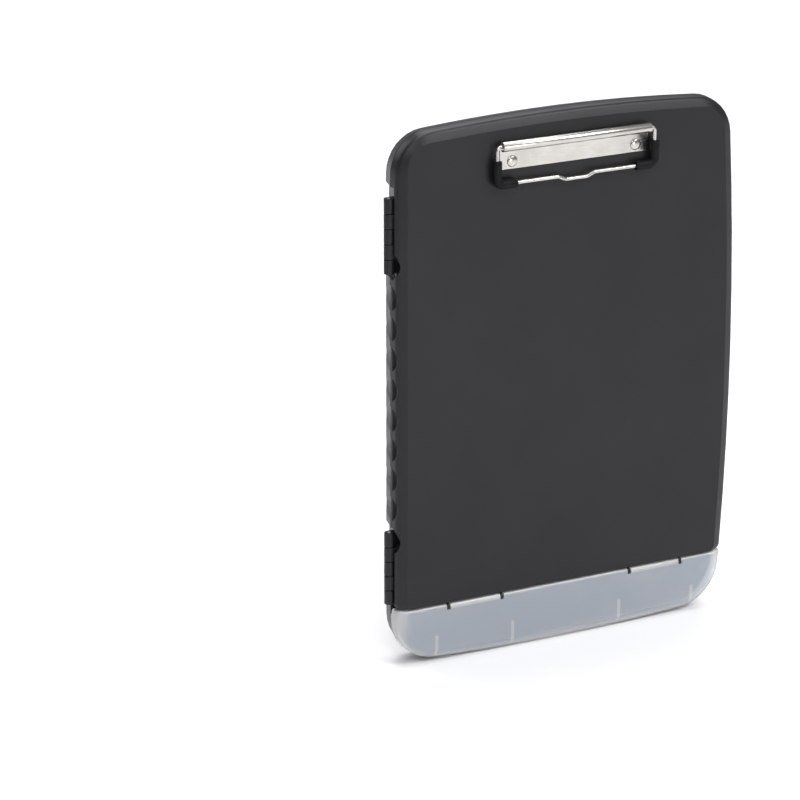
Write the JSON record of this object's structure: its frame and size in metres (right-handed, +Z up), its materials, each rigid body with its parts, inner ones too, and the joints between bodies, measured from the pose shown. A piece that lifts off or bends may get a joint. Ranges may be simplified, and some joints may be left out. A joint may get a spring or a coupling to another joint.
{
  "type": "storage clipboard box",
  "caption": "Slim hinged plastic box whose lid is a clipboard with a wire clip; a see-through cover closes a pen compartment along the bottom.",
  "frame": {"origin": "middle of the foot the box stands on, under the centre of its outline", "axes": "+Z up along the box's height, -Y out of the clipboard face, the lid hinges on the -X side"},
  "size_m": [0.2576, 0.0338, 0.3648],
  "materials": {
    "charcoal": "fine moulded grain",
    "frosted": "frosted, see-through",
    "steel": "plain drawn",
    "nickel": "bright nickel plate",
    "rubber": "smooth moulded"
  },
  "bodies": {
    "base": {"base_tray": "charcoal", "lid_hinge_pin_upper": "steel", "lid_hinge_pin_lower": "steel", "cover_hinge_pin_left": "steel", "cover_hinge_pin_right": "steel"},
    "lid": {"front_lid": "charcoal", "clip_plate": "nickel", "clip_rivets": "nickel", "rivet_washers": "steel"},
    "cover": {"pen_cover": "frosted"},
    "bail": {"clip_bail": "nickel", "clip_grip_left": "rubber", "clip_grip_right": "rubber"}
  },
  "joints": [
    {"name": "lid_hinge", "type": "hinge", "parent": "base", "child": "lid", "pos_m": [-0.1254, 0.0009, 0.182], "axis": [0, 0, -1], "range_deg": [0, 180]},
    {"name": "pen_cover_hinge", "type": "hinge", "parent": "base", "child": "cover", "pos_m": [0.0022, -0.0064, 0.03755], "axis": [-1, 0, 0], "range_deg": [0, 90]},
    {"name": "clip_bail_hinge", "type": "hinge", "parent": "lid", "child": "bail", "pos_m": [0.0022, -0.0136, 0.34675], "axis": [-1, 0, 0], "range_deg": [0, 80], "stiffness_Nm_per_rad": 0.03, "springref_deg": -8.59}
  ]
}
